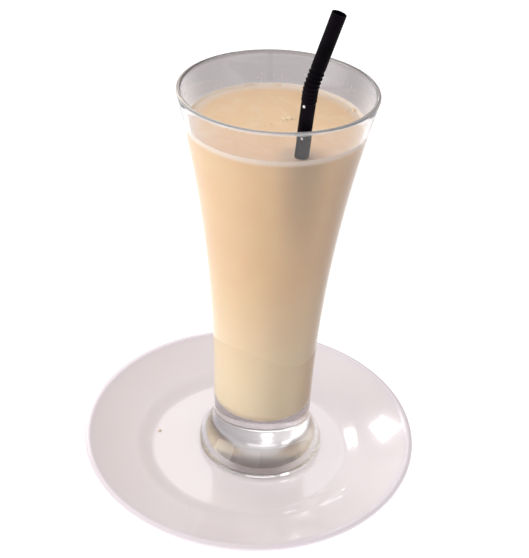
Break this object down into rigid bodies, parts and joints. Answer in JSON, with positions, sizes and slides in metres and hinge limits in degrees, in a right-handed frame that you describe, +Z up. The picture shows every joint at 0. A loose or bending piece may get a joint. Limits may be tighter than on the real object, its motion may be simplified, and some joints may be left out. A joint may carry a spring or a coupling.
{
  "type": "glass of horchata with a straw, on a saucer",
  "caption": "Tall flared footed glass filled with pale creamy horchata, with a dark bendable straw leaning on its rim, standing on a white porcelain saucer.",
  "frame": {"origin": "under the middle of the saucer, on the surface that it stands on", "axes": "+Z up; the straw leans over the glass's rim towards -Y and its upper end points to +X"},
  "size_m": [0.158, 0.158, 0.2415],
  "materials": {
    "porcelain": "smooth glossy white glaze with a faint warm pink cast",
    "glass": "clear polished soda-lime glass with a faint green edge",
    "horchata": "opaque creamy beige drink with a wet surface and small pale bubbles",
    "straw": "near-black thin plastic with a soft sheen"
  },
  "bodies": {
    "root": {"saucer": "porcelain", "glass": "glass", "drink": "horchata", "straw": "straw"}
  },
  "joints": []
}
